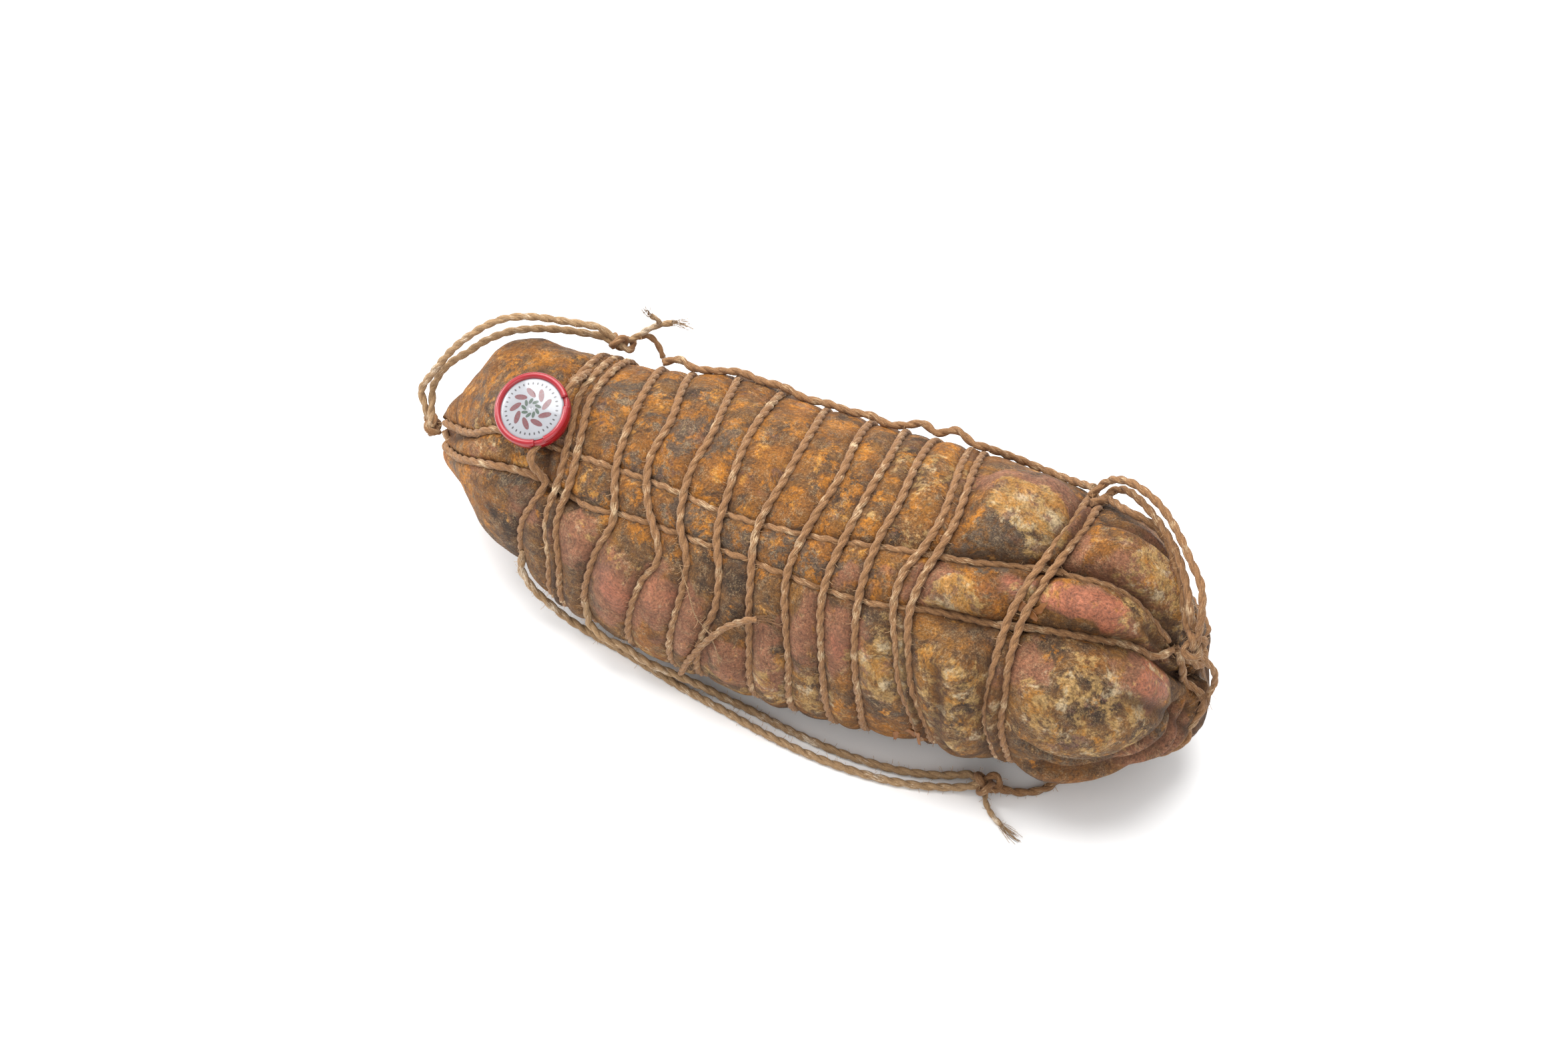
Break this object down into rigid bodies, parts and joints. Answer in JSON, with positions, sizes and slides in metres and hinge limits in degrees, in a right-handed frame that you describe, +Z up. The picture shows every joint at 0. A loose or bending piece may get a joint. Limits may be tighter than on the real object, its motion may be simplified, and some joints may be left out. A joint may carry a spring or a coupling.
{
  "type": "tied cured coppa",
  "caption": "Whole dry-cured pork neck in its casing, trussed with hemp twine in turns and lengthwise strands, with hanging loops and a round seal; it lies on its flat underside",
  "frame": {"origin": "middle of the footprint, on the surface that the coppa rests on", "axes": "+X along the coppa to its blunt end, +Z up, -Y to the side that shows both lengthwise strands"},
  "size_m": [0.3044, 0.1008, 0.0996],
  "materials": {
    "cured_meat": "dry matt natural casing over cured pork: ochre and grey-brown with cream mould bloom and darker bare flesh",
    "hemp_twine": "two-ply hemp twine, brown, hairy and dull, stained by the casing",
    "pale_hemp_twine": "the same twine where it stands clear of the casing, paler and drier",
    "seal_red": "moulded glossy red plastic",
    "seal_white": "glossy domed white disc with a plain leaf motif"
  },
  "bodies": {
    "root": {"coppa_meat": "cured_meat", "seal_turn": "hemp_twine", "collar_turn_a": "hemp_twine", "collar_turn_b": "hemp_twine", "turn_1": "hemp_twine", "turn_2": "hemp_twine", "turn_3": "hemp_twine", "turn_4": "hemp_twine", "turn_5": "hemp_twine", "turn_6": "hemp_twine", "turn_7": "hemp_twine", "turn_8": "hemp_twine", "turn_9_a": "hemp_twine", "turn_9_b": "hemp_twine", "end_turn_a": "hemp_twine", "end_turn_b": "hemp_twine", "strand_front_upper": "hemp_twine", "strand_front_lower": "hemp_twine", "strand_under": "hemp_twine", "strand_back": "hemp_twine", "running_line": "hemp_twine", "tip_knot": "hemp_twine", "top_knot": "hemp_twine", "end_knot": "hemp_twine", "table_knot": "hemp_twine", "hanging_loop_outer": "pale_hemp_twine", "hanging_loop_inner": "pale_hemp_twine", "long_loop_lower": "pale_hemp_twine", "long_loop_upper": "pale_hemp_twine", "end_loop_outer": "pale_hemp_twine", "end_loop_middle": "pale_hemp_twine", "end_loop_inner": "pale_hemp_twine", "seal_back": "seal_red", "seal_rim": "seal_red", "seal_face": "seal_white"}
  },
  "joints": []
}
